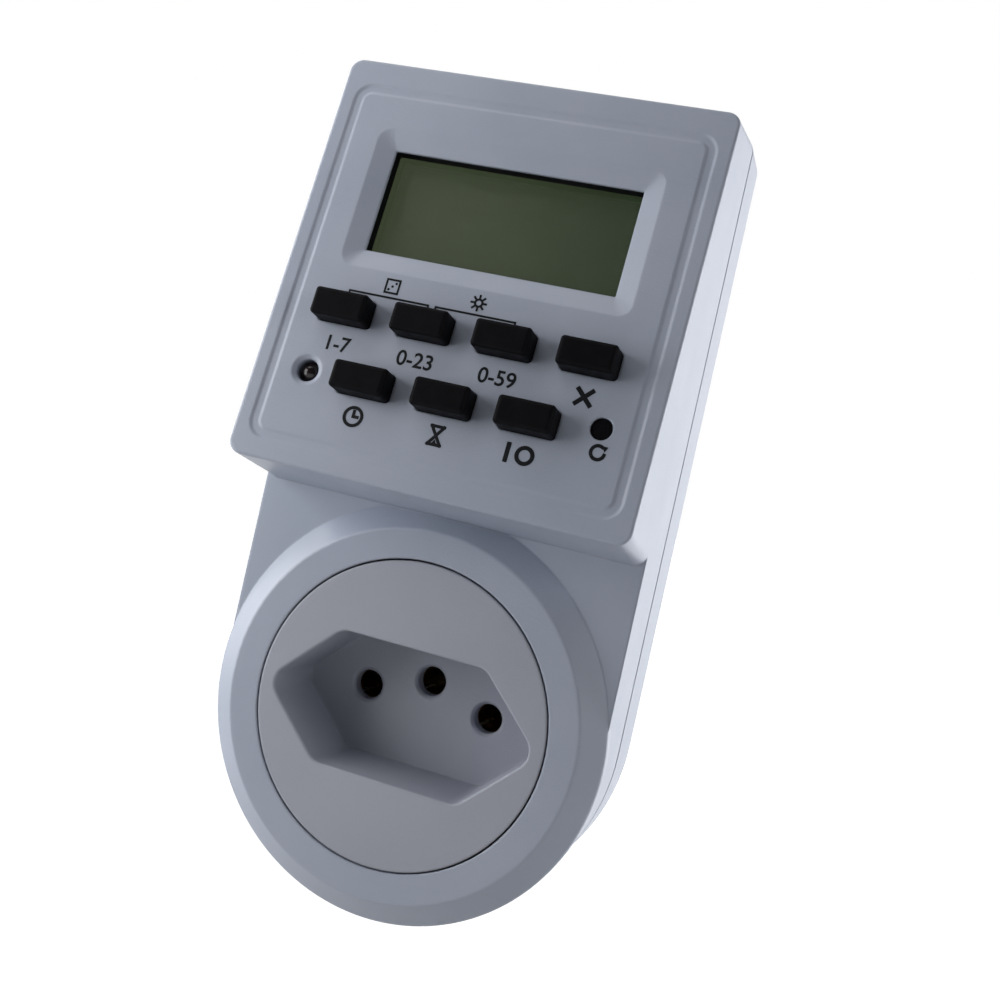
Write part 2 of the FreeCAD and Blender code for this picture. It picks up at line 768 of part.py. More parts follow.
def line_out_busbar():
    """Strap from the switched contact, over the carrier and up to the power board."""
    x0, x1 = output_leg_x - output_leg_half_width, output_leg_x + output_leg_half_width
    low = carrier_high_z + strap_gap
    riser_front = power_front_y - strap
    tab = box(x0, x1, rear_inner_y, ring_strap_front_y, pin_line_z, low + strap)
    tab = tab.cut(rod(-pole_x, pin_line_z, contact_outer_radius, rear_inner_y - 1,
                      ring_strap_front_y + 1))
    leg = box(x0, x1, riser_front, ring_strap_front_y, low, low + strap)
    riser = box(x0, x1, riser_front, power_front_y, low, power_low_z + board_overlap)
    return fuse_all([ring_strap(-pole_x, pin_line_z), tab, leg, riser])


def earth_busbar():
    x0 = contact_outer_radius + clip_wall + strap_gap
    low, high = earth_z - leg_half_height, earth_z + leg_half_height
    leg = box(x0, x0 + strap, rear_inner_y, pin_head_front_y, low, high)
    tab = box(0, x0 + strap, rear_inner_y, ring_strap_front_y, low, high)
    tab = tab.cut(rod(0, earth_z, contact_outer_radius, rear_inner_y - 1, ring_strap_front_y + 1))
    tab = tab.common(box(contact_outer_radius / 2, x0 + strap, rear_inner_y, ring_strap_front_y,
                         low, high))
    foot = box(0, x0 + strap, strap_front_y, pin_head_front_y, low, high)
    return fuse_all([ring_strap(0, earth_z), tab, leg, foot])


def contact_clips():
    """Steel snap rings round the split sleeves, behind their busbars."""
    clips = []
    front = ring_strap_front_y + clip_gap
    for x, z in [(-pole_x, pin_line_z), (pole_x, pin_line_z), (0, earth_z)]:
        ring = rod(x, z, contact_outer_radius + clip_wall, front, front + clip_width)
        clips.append(ring.cut(rod(x, z, contact_outer_radius, front - 1, front + clip_width + 1)))
    return Part.Compound(clips)


# Display
def frame_prism(border, low_border, n0, n1, radius):
    outline = rectangle(-opening_half_width - border, opening_half_width + border,
                        opening_low_s - low_border, opening_high_s + low_border, radius, radius, n0)
    return prism(outline, n1 - n0)


def display_bezel():
    frame = frame_prism(bezel_border, bezel_low_border, pocket_n, logic_n, bezel_corner)
    tunnel = frame_prism(fit_gap, fit_gap, pocket_n - cut_reach, window_depth + cut_reach, window_corner)
    pocket = frame_prism(window_border + fit_gap, window_low_border + fit_gap, window_depth,
                         logic_n + cut_reach, window_corner)
    return on_face(frame.cut([tunnel, pocket]))


def display_window():
    return on_face(frame_prism(window_border, window_low_border, window_depth, glass_n, window_corner))


def display_glass():
    return on_face(frame_prism(window_border, window_low_border, glass_n, strip_n, window_corner))


def contact_strips():
    half = opening_half_width
    low = opening_low_s - window_low_border
    high = opening_high_s + window_low_border
    strips = [box(-half, half, strip_n, logic_n, low, low + strip_width),
              box(-half, half, strip_n, logic_n, high - strip_width, high)]
    return Part.Compound([on_face(strip) for strip in strips])


# Keys and their mat
def key(column, s):
    u = column * key_pitch
    half_u, half_s = key_width / 2, key_height / 2
    cap = prism(rectangle(u - half_u, u + half_u, s - half_s, s + half_s, key_corner, key_corner,
                          -key_proud), key_proud + flange_n)
    cap = round_edges(cap, key_top_round,
                      lambda edge: edge.BoundBox.YMax < -key_proud + 0.01)
    flange = prism(rectangle(u - half_u - flange_margin, u + half_u + flange_margin,
                             s - half_s - flange_margin, s + half_s + flange_margin,
                             key_corner, key_corner, flange_n), flange_thickness)
    stem = box(u - stem_width / 2, u + stem_width / 2, stem_n, stem_n + stem_length,
               s - stem_height / 2, s + stem_height / 2)
    return on_face(fuse_all([cap, flange, stem]))


def reset_button():
    cap = rod(reset_u, reset_s, reset_radius, reset_sunk, flange_n)
    flange = rod(reset_u, reset_s, reset_radius + flange_margin, flange_n, stem_n)
    stem = rod(reset_u, reset_s, reset_radius, stem_n, stem_n + stem_length)
    return on_face(fuse_all([cap, flange, stem]))


def dome_places():
    places = [(column * key_pitch, s) for name, column, s in row_keys]
    return places + [(reset_u, reset_s)]


def keypad_mat():
    sheet = prism(rectangle(-mat_half_width, mat_half_width, mat_low_s, mat_high_s,
                            mat_corner, mat_corner, mat_n), mat_thickness)
    domes = []
    hollows = []
    for u, s in dome_places():
        domes.append(taper(u, s, dome_top_radius, dome_radius, mat_n - dome_height, mat_n))
        hollows.append(rod(u, s, dome_hollow_radius, mat_n - dome_height + dome_roof, logic_n + 1))
    hollows.append(rod(lamp_u, lamp_s, lamp_flange_radius + lamp_hole_gap, mat_n - cut_reach,
                       logic_n + cut_reach))
    return on_face(cut_all(fuse_all([sheet] + domes), hollows))


def carbon_pills():
    pills = []
    for u, s in dome_places():
        pill_n = mat_n - dome_height + dome_roof
        pills.append(on_face(rod(u, s, pill_radius, pill_n, pill_n + pill_thickness)))
    return Part.Compound(pills)


# Indicator lamp
def status_led():
    dome_n = lamp_sunk + lamp_radius
    dome = Part.makeSphere(lamp_radius, Vector(lamp_u, dome_n, lamp_s))
    barrel = rod(lamp_u, lamp_s, lamp_radius, dome_n, lamp_flange_n)
    flange = rod(lamp_u, lamp_s, lamp_flange_radius, lamp_flange_n - lamp_flange_thickness,
                 lamp_flange_n)
    leads = [rod(lamp_u + side * lamp_lead_side, lamp_s, lead_radius, lamp_flange_n - 0.2, logic_n)
             for side in (-1, 1)]
    return on_face(fuse_all([dome, barrel, flange] + leads))


# Logic board and what it carries
def header_places():
    first = -header_pitch * (header_count - 1) / 2
    return [(first + header_pitch * i, header_z) for i in range(header_count)]


def header_holes():
    return [rod(x, z, header_half_side * 1.42 + fit_gap, face_low_y, rear_y) for x, z in header_places()]


def logic_board():
    half = logic_half_width
    notch = half - logic_notch_width
    plate = prism(rectangle(-half, half, logic_low_s, logic_notch_s, logic_corner, logic_corner,
                            logic_n), board_thickness)
    tongue = box(-notch, notch, logic_n, logic_back_n, logic_notch_s - logic_corner, logic_high_s)
    board = fuse_all([plate, tongue])
    holes = [rod(u, s, small_screw_radius + 0.05, logic_n - 1, logic_back_n + 1)
             for u, s in both_sides(board_posts)]
    board = on_face(cut_all(board, holes))
    return cut_all(board, header_holes())


def controller_chip():
    """Black resin cap over the bare chip."""
    u, s = chip_cap_place
    return on_face(taper(u, s, chip_cap_radius, chip_cap_top_radius, logic_back_n,
                         logic_back_n + chip_cap_height))


def clock_crystal():
    u, s = crystal_place
    axis_n = logic_back_n + crystal_radius
    half = crystal_length / 2
    can = rod_x(axis_n, s, crystal_radius, u - half, u + half)
    wires = []
    for side in (-1, 1):
        z = s + side * crystal_radius / 2
        low, high = z - crystal_wire / 2, z + crystal_wire / 2
        end, top_n = u - half - crystal_wire_reach, axis_n + crystal_wire / 2
        wires.append(box(end, u - half + 0.2, axis_n - crystal_wire / 2, top_n, low, high))
        wires.append(box(end, end + crystal_wire, logic_back_n, top_n, low, high))
    return on_face(fuse_all([can] + wires))


def backup_battery():
    u, s = battery_u, battery_s
    cell_n = logic_back_n + 0.3
    cell = rod(u, s, battery_radius, cell_n, cell_n + battery_height)
    edge = battery_radius - 0.8
    tabs = [box(u + edge, u + edge + battery_tab_length, logic_back_n, logic_back_n + 0.4, s - 1, s + 1),
            box(u - edge - battery_tab_length, u - edge, logic_back_n, logic_back_n + 0.4, s - 1, s + 1)]
    return on_face(fuse_all([cell] + tabs))


def logic_passives():
    """Small resistors and capacitors soldered flat on the back of the logic board."""
    width, height, depth = small_part_size
    chips = []
    for s in small_part_rows:
        for i in range(small_part_count):
            u = small_part_pitch * (i - small_part_count)
            chips.append(on_face(box(u, u + width, logic_back_n, logic_back_n + depth, s, s + height)))
    return Part.Compound(chips)


def screw(x, z, y_seat, core, head, head_height, length):
    """Self-tapping screw driven towards -Y from a seat, with a cross recess in its head."""
    body = rod(x, z, head, y_seat, y_seat + head_height)
    shank = rod(x, z, core, y_seat - length, y_seat + 0.1)
    depth = y_seat + head_height * 0.45
    cross = [box(x - head * 0.6, x + head * 0.6, depth, y_seat + head_height + 1, z - 0.3, z + 0.3),
             box(x - 0.3, x + 0.3, depth, y_seat + head_height + 1, z - head * 0.6, z + head * 0.6)]
    return fuse_all([body, shank]).cut(cross)


def board_screws():
    length = small_screw_length + board_thickness - 0.2
    return Part.Compound([on_face(screw(u, s, logic_back_n, small_screw_radius, small_screw_head,
                                        small_screw_head_height, length))
                          for u, s in both_sides(board_posts)])


def power_screws():
    length = board_thickness + power_standoff + 0.6
    screws = []
    for x, z in both_sides(power_posts):
        driven = screw(x, z, 0, small_screw_radius, small_screw_head, small_screw_head_height, length)
        driven.Placement = Placement(Vector(0, power_front_y, 0), Rotation(Vector(0, 0, 1), 180))
        screws.append(driven)
    return Part.Compound(screws)


def housing_screws():
    return Part.Compound([screw(x, z, screw_seat_y, screw_core_radius, screw_head_radius,
                                screw_head_height, screw_seat_y - screw_end_y)
                          for x, z in both_sides([low_screw, top_screw])])


# Power board and what it carries
def power_board():
    board = box(-power_half_width, power_half_width, power_front_y, power_back_y,
                power_low_z, power_high_z)
    holes = [rod(x, z, small_screw_radius + 0.05, power_front_y - 1, power_back_y + 1)
             for x, z in both_sides(power_posts)]
    return cut_all(board, holes + header_holes())


def header_pins():
    """Square pins that carry the low voltage from one board to the other."""
    pins = []
    for x, z in header_places():
        s = (z - head_bottom_z + logic_n * math.sin(tilt)) / math.cos(tilt)
        front = face_point(0, logic_n, s).y - header_stub
        pins.append(box(x - header_half_side, x + header_half_side, front, power_back_y + header_stub,
                        z - header_half_side, z + header_half_side))
    return Part.Compound(pins)


def boxed_part(place, size):
    """Rectangular case that stands off the power board, with its edges rounded at the far end."""
    x, z = place[0], power_low_z + place[1]
    width, depth, height = size
    back = power_front_y - case_standoff
    case = box(x - width / 2, x + width / 2, back - depth, back, z - height / 2, z + height / 2)
    return round_edges(case, edge_round, lambda edge: edge.BoundBox.YMax < back - depth + 0.1)


def relay():
    x, z = relay_place[0], power_low_z + relay_place[1]
    dx, dz = relay_size[0] / 2 - relay_pin_inset, relay_size[2] / 2 - relay_pin_inset
    places = [(x - dx, z - dz), (x - dx, z + dz), (x + dx, z - dz), (x + dx, z + dz), (x, z - dz)]
    pins = [rod(px, pz, relay_pin_radius, power_front_y - case_standoff - 0.2, power_front_y)
            for px, pz in places]
    return fuse_all([boxed_part(relay_place, relay_size)] + pins)


def film_capacitor():
    x, z = film_place[0], power_low_z + film_place[1]
    reach = film_size[0] / 2 - 0.9
    leads = [rod(x + side * reach, z, wire_radius, power_front_y - case_standoff - 0.2, power_front_y)
             for side in (-1, 1)]
    return fuse_all([boxed_part(film_place, film_size)] + leads)


def electrolytic_capacitors():
    cans = []
    for rise, (radius, height) in ((large_can_rise, large_can_size), (small_can_rise, small_can_size)):
        cans.append(rod(can_x, power_low_z + rise, radius, power_front_y - height, power_front_y))
    return Part.Compound(cans)


def varistor():
    x, z = varistor_place[0], power_low_z + varistor_place[1]
    middle = power_front_y - varistor_standoff - varistor_radius
    half = varistor_thickness / 2
    disc = Part.makeCylinder(varistor_radius, varistor_thickness, Vector(x, middle, z - half),
                             Vector(0, 0, 1))
    leads = [rod(x + side * varistor_radius * 0.6, z, wire_radius, middle + varistor_radius / 2,
                 power_front_y) for side in (-1, 1)]
    return fuse_all([disc] + leads)


def leaded_part(place, size):
    """Round part that lies on the board between its two bent wires."""
    x, z = place[0], power_low_z + place[1]
    length, radius = size
    y = power_front_y - radius
    reach = length / 2 + wire_reach
    barrel = rod_x(y, z, radius, x - length / 2, x + length / 2)
    wire = rod_x(y, z, wire_radius, x - reach, x + reach)
    foot_radius = wire_radius * 0.9
    feet = [rod(x + side * (reach - wire_radius), z, foot_radius, y, power_front_y) for side in (-1, 1)]
    return fuse_all([barrel, wire] + feet)


def rectifier_diodes():
    return Part.Compound([leaded_part((x, rise), diode_size)
                          for x in diode_columns for rise in power_rows[:2]])


def resistors():
    return Part.Compound([leaded_part((x, rise), resistor_size)
                          for x in resistor_columns for rise in power_rows[2:]])


def fusible_resistor():
    return leaded_part((fusible_x, power_rows[-1]), fusible_size)


def driver_transistor():
    """Flat-faced round case on three legs."""
    x, z = transistor_place[0], power_low_z + transistor_place[1]
    back = power_front_y - transistor_standoff
    case = rod(x, z, transistor_radius, back - transistor_height, back)
    flat = z - transistor_radius * 0.6
    reach = 2 * transistor_radius
    front = back - transistor_height
    case = case.cut(box(x - reach, x + reach, front - 1, back + 1, flat - reach, flat))
    legs = [rod(x + transistor_leg_pitch * i, z, lead_radius, back - 0.2, power_front_y)
            for i in (-1, 0, 1)]
    return fuse_all([case] + legs)


def write_step(name, shape):
    shape.exportStep("parts/" + name + ".step")
    print("%-24s %3d solid(s) %10.2f mm3 valid %s"
          % (name, len(shape.Solids), shape.Volume, shape.isValid()))


def main():
    os.makedirs("parts", exist_ok=True)
    pieces = {
        "front_housing": front_housing(),
        "rear_housing": rear_housing(),
        "socket_insert": socket_insert(),
        "contact_carrier": contact_carrier(),
        "line_contact": contact(-pole_x, pin_line_z),
        "neutral_contact": contact(pole_x, pin_line_z),
        "earth_contact": contact(0, earth_z),
        "contact_clips": contact_clips(),
        "line_pin": sleeved_pin(-pole_x),
        "neutral_pin": sleeved_pin(pole_x),
        "earth_pin": earth_pin(),
        "pin_sleeves": pin_sleeves(),
        "line_in_busbar": line_in_busbar(),
        "line_out_busbar": line_out_busbar(),
        "neutral_busbar": neutral_busbar(),
        "earth_busbar": earth_busbar(),
        "display_bezel": display_bezel(),
        "display_window": display_window(),
        "display_glass": display_glass(),
        "contact_strips": contact_strips(),
        "keypad_mat": keypad_mat(),
        "carbon_pills": carbon_pills(),
        "reset_button": reset_button(),
        "status_led": status_led(),
        "logic_board": logic_board(),
        "controller_chip": controller_chip(),
        "clock_crystal": clock_crystal(),
        "backup_battery": backup_battery(),
        "logic_passives": logic_passives(),
        "board_screws": board_screws(),
        "power_board": power_board(),
        "power_screws": power_screws(),
        "header_pins": header_pins(),
        "relay": relay(),
        "film_capacitor": film_capacitor(),
        "electrolytic_capacitors": electrolytic_capacitors(),
        "varistor": varistor(),
        "rectifier_diodes": rectifier_diodes(),
        "resistors": resistors(),
        "fusible_resistor": fusible_resistor(),
        "driver_transistor": driver_transistor(),
        "housing_screws": housing_screws(),
    }
    for name, column, s in row_keys:
        pieces[name] = key(column, s)
    for name, shape in pieces.items():
        write_step(name, shape)


main()
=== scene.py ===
# %% [markdown]
# A plug-in timer switch in Blender
#
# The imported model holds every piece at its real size. This lesson gives each piece its finish, prints
# the marks on the control face, and sets up the light and the camera. Lengths are in metres, and
# values whose names end in _mm are in millimetres, which is how a maker would measure them.

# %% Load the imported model
import json
import math

import bpy
import bmesh
from mathutils import Matrix, Vector


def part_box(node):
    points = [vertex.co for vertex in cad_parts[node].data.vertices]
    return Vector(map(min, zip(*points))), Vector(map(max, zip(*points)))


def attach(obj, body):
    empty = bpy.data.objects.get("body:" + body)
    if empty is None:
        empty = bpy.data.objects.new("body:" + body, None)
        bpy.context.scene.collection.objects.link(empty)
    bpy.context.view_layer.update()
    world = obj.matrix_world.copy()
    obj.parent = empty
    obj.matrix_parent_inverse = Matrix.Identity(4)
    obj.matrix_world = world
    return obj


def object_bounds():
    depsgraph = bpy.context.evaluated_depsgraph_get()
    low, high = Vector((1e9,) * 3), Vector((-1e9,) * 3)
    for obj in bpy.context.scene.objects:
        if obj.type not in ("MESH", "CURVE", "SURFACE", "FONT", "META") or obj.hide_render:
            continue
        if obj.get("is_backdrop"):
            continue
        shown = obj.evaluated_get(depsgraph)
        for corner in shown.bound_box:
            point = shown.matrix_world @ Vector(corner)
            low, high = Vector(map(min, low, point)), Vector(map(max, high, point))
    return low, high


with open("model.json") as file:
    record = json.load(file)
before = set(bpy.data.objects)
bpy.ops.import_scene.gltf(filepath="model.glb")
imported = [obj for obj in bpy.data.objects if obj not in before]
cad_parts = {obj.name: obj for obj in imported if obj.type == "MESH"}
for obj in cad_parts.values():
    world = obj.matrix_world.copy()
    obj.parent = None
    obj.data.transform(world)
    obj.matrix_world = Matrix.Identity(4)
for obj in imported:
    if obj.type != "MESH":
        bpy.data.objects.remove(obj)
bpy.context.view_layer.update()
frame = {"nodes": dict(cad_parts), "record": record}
nodes = frame["nodes"]
MM = 0.001

# %% [markdown]
# Colours are written as on a paint card, in sRGB hex. Blender's shaders work in linear light, so one
# function turns each colour over by the curve of the sRGB standard: a straight line for the darkest
# values, and a power for the rest.


# %% Colours
def to_linear(share):
    """Linear light of one sRGB channel, both from 0 to 1."""
    if share <= 0.04045:
        return share / 12.92
    return ((share + 0.055) / 1.055) ** 2.4


def colour(code):
    """Linear RGBA of an sRGB hex colour."""
    channels = [to_linear(int(code[start:start + 2], 16) / 255) for start in (0, 2, 4)]
    return (*channels, 1.0)


print("middle grey in linear light:", round(colour("808080")[0], 3))

# %% [markdown]
# A material is a small graph of nodes. One helper adds a node, sets its values and links its inputs,
# and another makes a material with a Principled shader. They keep every material below down to a few
# readable lines. A Mix node has sockets for each kind of value, so two more helpers know which ones
# take colours and which ones take numbers.

# %% Nodes and materials
COLOUR_SOCKETS = (6, 7)
COLOUR_OUTPUT = 2
NUMBER_SOCKETS = (2, 3)
NUMBER_OUTPUT = 0


def add_node(holder, kind, settings=None, values=None, links=None):
    """Adds a node; values sets its sockets, links joins them to other nodes' outputs."""
    node = holder.node_tree.nodes.new("ShaderNode" + kind)
    for name, setting in (settings or {}).items():
        setattr(node, name, setting)
    for socket, value in (values or {}).items():
        node.inputs[socket].default_value = value
    for socket, output in (links or {}).items():
        holder.node_tree.links.new(output, node.inputs[socket])
    return node


def new_material(name, **surface):
    """A material with a Principled shader, whose constants are set on its own sockets."""
    material = bpy.data.materials.new(name)
    material.use_nodes = True
    shader = material.node_tree.nodes["Principled BSDF"]
    for socket, value in surface.items():
        shader.inputs[socket.replace("_", " ")].default_value = value
    return material, shader


def blend_colours(material, share, first, second):
    """Colour that runs from first to second as share goes from 0 to 1."""
    mix = add_node(material, "Mix", settings={"data_type": "RGBA"}, links={0: share})
    for socket, code in zip(COLOUR_SOCKETS, (first, second)):
        mix.inputs[socket].default_value = colour(code)
    return mix.outputs[COLOUR_OUTPUT]


def choose(holder, share, low, high):
    """A number that is low where share is 0 and high where it is 1."""
    mix = add_node(holder, "Mix", links={0: share})
    for socket, value in zip(NUMBER_SOCKETS, (low, high)):
        if isinstance(value, float):
            mix.inputs[socket].default_value = value
        else:
            holder.node_tree.links.new(value, mix.inputs[socket])
    return mix.outputs[NUMBER_OUTPUT]


print("helpers for nodes are ready")

# %% [markdown]
# Patterns come from noise in the object's own space, scaled from millimetres, so that a grain or a
# patch keeps its real size on every piece. Noise stays near the middle of its range, so a helper
# stretches the useful part. Relief is bump of a real depth, on edges that are rounded by a real
# radius, because no moulded edge is perfectly sharp.

# %% Patterns of a real size
NOISE_BROAD = (0.3, 0.7)
NOISE_MIDDLE = (0.35, 0.65)
EDGE_SAMPLES = 6


def size_noise(material, grain_mm, detail=2.0):
    """Noise over the object's own space, whose features are about grain_mm wide."""
    place = add_node(material, "TexCoord").outputs["Object"]
    return add_node(material, "TexNoise", values={"Scale": 1 / (grain_mm * MM), "Detail": detail},
                    links={"Vector": place}).outputs["Fac"]


def spread(holder, source, low, high, to_low=0.0, to_high=1.0):
    """Stretches what lies from low to high so that it runs from to_low to to_high."""
    limits = {"From Min": low, "From Max": high, "To Min": to_low, "To Max": to_high}
    return add_node(holder, "MapRange", values=limits, links={"Value": source}).outputs["Result"]


def surface_relief(material, shader, height, depth_mm, edge_mm=0.0):
    """Bump of a real depth, on edges rounded by a real radius."""
    links = material.node_tree.links
    bump = add_node(material, "Bump", values={"Strength": 1.0, "Distance": depth_mm * MM},
                    links={"Height": height})
    if edge_mm:
        edge = add_node(material, "Bevel", settings={"samples": EDGE_SAMPLES},
                        values={"Radius": edge_mm * MM})
        links.new(edge.outputs["Normal"], bump.inputs["Normal"])
    links.new(bump.outputs["Normal"], shader.inputs["Normal"])


print("noise is stretched from", NOISE_BROAD, "or", NOISE_MIDDLE)

# %% [markdown]
# The two case shells are injection-moulded ABS, pale blue-grey. The mould was spark-eroded, so the
# skin has a very fine grain that breaks up reflections, and the plastic itself is slightly uneven in
# tone where it flowed. Handling leaves faint smoother patches, which show as changes in roughness.
# The outlet insert is a flame-retardant polycarbonate of nearly the same colour, a little less blue.

# %% Moulded case and outlet
# The real grain is too fine for the picture, so it is drawn as coarse as it needs to be to show.
SPARK_GRAIN_MM = 0.3
SPARK_DEPTH_MM = 0.02
EDGE_MM = 0.5
FLOW_PATCH_MM = 19
HANDLED_PATCH_MM = 9
HANDLED_SMOOTHER = 0.04
HANDLED_ROUGHER = 0.05


def moulded_case(name, main, flow, rough):
    """Pale moulded plastic with spark grain, flow marks and handled patches."""
    material, shader = new_material(name, IOR=1.53, Metallic=0.0)
    links = material.node_tree.links
    flow_share = spread(material, size_noise(material, FLOW_PATCH_MM, 3.0), *NOISE_MIDDLE)
    links.new(blend_colours(material, flow_share, main, flow), shader.inputs["Base Color"])
    handled = spread(material, size_noise(material, HANDLED_PATCH_MM, 4.0), *NOISE_BROAD,
                     rough - HANDLED_SMOOTHER, rough + HANDLED_ROUGHER)
    links.new(handled, shader.inputs["Roughness"])
    grain = size_noise(material, SPARK_GRAIN_MM, 1.0)
    surface_relief(material, shader, grain, SPARK_DEPTH_MM, EDGE_MM)
    return material


case_abs = moulded_case("moulded_abs_case", "ACB3C3", "A6AEBE", rough=0.42)
insert_plastic = moulded_case("moulded_polycarbonate_outlet", "A9ACB8", "A4A8B4", rough=0.46)
print("moulded:", case_abs.name, "and", insert_plastic.name)

# %% [markdown]
# Keys, bezel and reset button are deep black and soft to the touch, and such a skin reflects far less
# than a glossy plastic, so the specular level is low. Fingers polish the tops a little, and that shows
# as slow changes in roughness. The sleeves on the plug's pins are a harder black polyamide.

# %% Black plastics
BLACK_SPECULAR = 0.07
BLACK_SECOND_TONE = "0F0F12"
TONE_PATCH_MM = 2.5
WORN_PATCH_MM = 1.6
WORN_SPREAD = 0.06


def black_plastic(name, main, rough, grain_mm, depth_mm, edge_mm):
    """Deep black plastic with worn patches and a fine grain."""
    material, shader = new_material(name, IOR=1.41, Specular_IOR_Level=BLACK_SPECULAR)
    links = material.node_tree.links
    tone = spread(material, size_noise(material, TONE_PATCH_MM, 3.0), *NOISE_BROAD)
    links.new(blend_colours(material, tone, main, BLACK_SECOND_TONE), shader.inputs["Base Color"])
    worn = spread(material, size_noise(material, WORN_PATCH_MM, 3.0), *NOISE_BROAD,
                  rough - WORN_SPREAD, rough + WORN_SPREAD)
    links.new(worn, shader.inputs["Roughness"])
    surface_relief(material, shader, size_noise(material, grain_mm, 1.0), depth_mm, edge_mm)
    return material


key_black = black_plastic("moulded_rubber_keys", "08080B", rough=0.55,
                          grain_mm=0.18, depth_mm=0.008, edge_mm=0.18)
sleeve_black = black_plastic("moulded_polyamide_sleeves", "17171A", rough=0.45,
                             grain_mm=0.2, depth_mm=0.006, edge_mm=0.1)
print("black:", key_black.name, "and", sleeve_black.name)

# %% [markdown]
# The lamp is a small lens cast in dark tinted epoxy, and it is off. It is smooth enough to catch one
# soft highlight, and a part of the light goes into it, which gives the dark body its depth.

# %% Lamp lens
LENS_CLOUD_MM = 0.7


def tinted_epoxy():
    """Dark clear resin with faint clouds."""
    material, shader = new_material("cast_epoxy_lamp", IOR=1.54, Roughness=0.14,
                                    Specular_IOR_Level=0.35, Transmission_Weight=0.25)
    cloud = spread(material, size_noise(material, LENS_CLOUD_MM), *NOISE_MIDDLE)
    body = blend_colours(material, cloud, "140B0C", "1E1012")
    material.node_tree.links.new(body, shader.inputs["Base Color"])
    return material


lamp_epoxy = tinted_epoxy()
print("lens:", lamp_epoxy.name)

# %% [markdown]
# The display is a sandwich: a clear acrylic window, then two sheets of glass with liquid crystal
# between them and a grey-green reflector behind. It is switched off here. Its colour deepens from
# left to right, and that is painted shade: the light from the lamps at the left falls off across it.
# A faint painted glow lights the panel, though it is no lamp, and evens out the frame's shadow on it.

# %% Display glass
# Strength of a painted glow: the panel glows though it is no lamp, which evens out the frame's shadow.
PAINTED_DISPLAY_GLOW = 0.6
DISPLAY_CLOUD_MM = 12
DISPLAY_CLOUD_SHARE = 0.12


def display_layer():
    """Grey-green panel with painted shade from left to right and a painted glow."""
    material, shader = new_material("polarised_display_glass", Roughness=0.22, IOR=1.5,
                                    Emission_Strength=PAINTED_DISPLAY_GLOW)
    links = material.node_tree.links
    left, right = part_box("display_glass")
    place = add_node(material, "TexCoord").outputs["Object"]
    along = add_node(material, "SeparateXYZ", links={"Vector": place}).outputs
    # Painted shade: the colour deepens from left to right, as the light from the left lamps falls off.
    across = spread(material, along["X"], left.x, right.x)
    clouds = spread(material, size_noise(material, DISPLAY_CLOUD_MM), *NOISE_BROAD,
                    -DISPLAY_CLOUD_SHARE, DISPLAY_CLOUD_SHARE)
    share = add_node(material, "Math", settings={"operation": "ADD", "use_clamp": True},
                     links={0: across, 1: clouds}).outputs[0]
    links.new(blend_colours(material, share, "3A4133", "2C3328"), shader.inputs["Base Color"])
    # Colour of the painted glow, which also deepens from left to right as painted shade.
    links.new(blend_colours(material, share, "49503C", "313C29"), shader.inputs["Emission Color"])
    return material


display_glass = display_layer()
print("display:", display_glass.name)

# %% [markdown]
# The window in front is polished acrylic. A renderer lets no lamplight straight through a refracting
# sheet, so shadow rays meet a plain transparent shader instead, and the display behind stays lit.
# Faint smudges change how sharply it mirrors the room.

# %% Window
SMUDGE_MM = 6
SMUDGE_NOISE = (0.45, 0.75)
CLEAN_ROUGHNESS = 0.02
SMUDGED_ROUGHNESS = 0.06
LET_THROUGH = (0.9, 0.92, 0.9, 1)


def clear_acrylic():
    """Polished clear sheet that lets lamplight through."""
    material, shader = new_material("polished_acrylic_window", IOR=1.49, Transmission_Weight=1.0,
                                    Base_Color=colour("F4F7F4"))
    links = material.node_tree.links
    smudge = spread(material, size_noise(material, SMUDGE_MM, 4.0), *SMUDGE_NOISE,
                    CLEAN_ROUGHNESS, SMUDGED_ROUGHNESS)
    links.new(smudge, shader.inputs["Roughness"])
    shadow = add_node(material, "LightPath").outputs["Is Shadow Ray"]
    clear = add_node(material, "BsdfTransparent", values={"Color": LET_THROUGH}).outputs[0]
    mixed = add_node(material, "MixShader", links={0: shadow, 1: shader.outputs[0], 2: clear})
    links.new(mixed.outputs[0], material.node_tree.nodes["Material Output"].inputs["Surface"])
    return material


window_acrylic = clear_acrylic()
print("window:", window_acrylic.name)

# %% [markdown]
# Metal parts are nickel-plated brass on the pins, bare brass on the contacts and zinc-plated steel on
# the screws. Metals have no body colour apart from their reflection, so Metallic is 1 and the tint
# is the reflection's. Turned and stamped metal has fine marks along one direction, so the noise is
# drawn out along the depth of the object, which is the way that the pins point.

# %% Metals
MARK_DEPTH_MM = 0.003
MARK_STRETCH = 0.12
MARK_SMOOTHER = 0.06
MARK_ROUGHER = 0.08
DULL_PATCH_MM = 3
DULL_NOISE = (0.4, 0.7)


def turned_metal(name, tint, dull_tint, rough, mark_mm):
    """Metal with fine marks along one direction and dull patches."""
    material, shader = new_material(name, Metallic=1.0)
    links = material.node_tree.links
    place = add_node(material, "TexCoord").outputs["Object"]
    fine = 1 / (mark_mm * MM)
    stretched = add_node(material, "Mapping", values={"Scale": (fine, fine * MARK_STRETCH, fine)},
                         links={"Vector": place}).outputs["Vector"]
    marks = add_node(material, "TexNoise", values={"Scale": 1.0, "Detail": 2.0},
                     links={"Vector": stretched}).outputs["Fac"]
    dull = spread(material, size_noise(material, DULL_PATCH_MM, 3.0), *DULL_NOISE)
    links.new(blend_colours(material, dull, tint, dull_tint), shader.inputs["Base Color"])
    marked = spread(material, marks, *NOISE_BROAD, rough - MARK_SMOOTHER, rough + MARK_ROUGHER)
    links.new(marked, shader.inputs["Roughness"])
    surface_relief(material, shader, marks, MARK_DEPTH_MM)
    return material


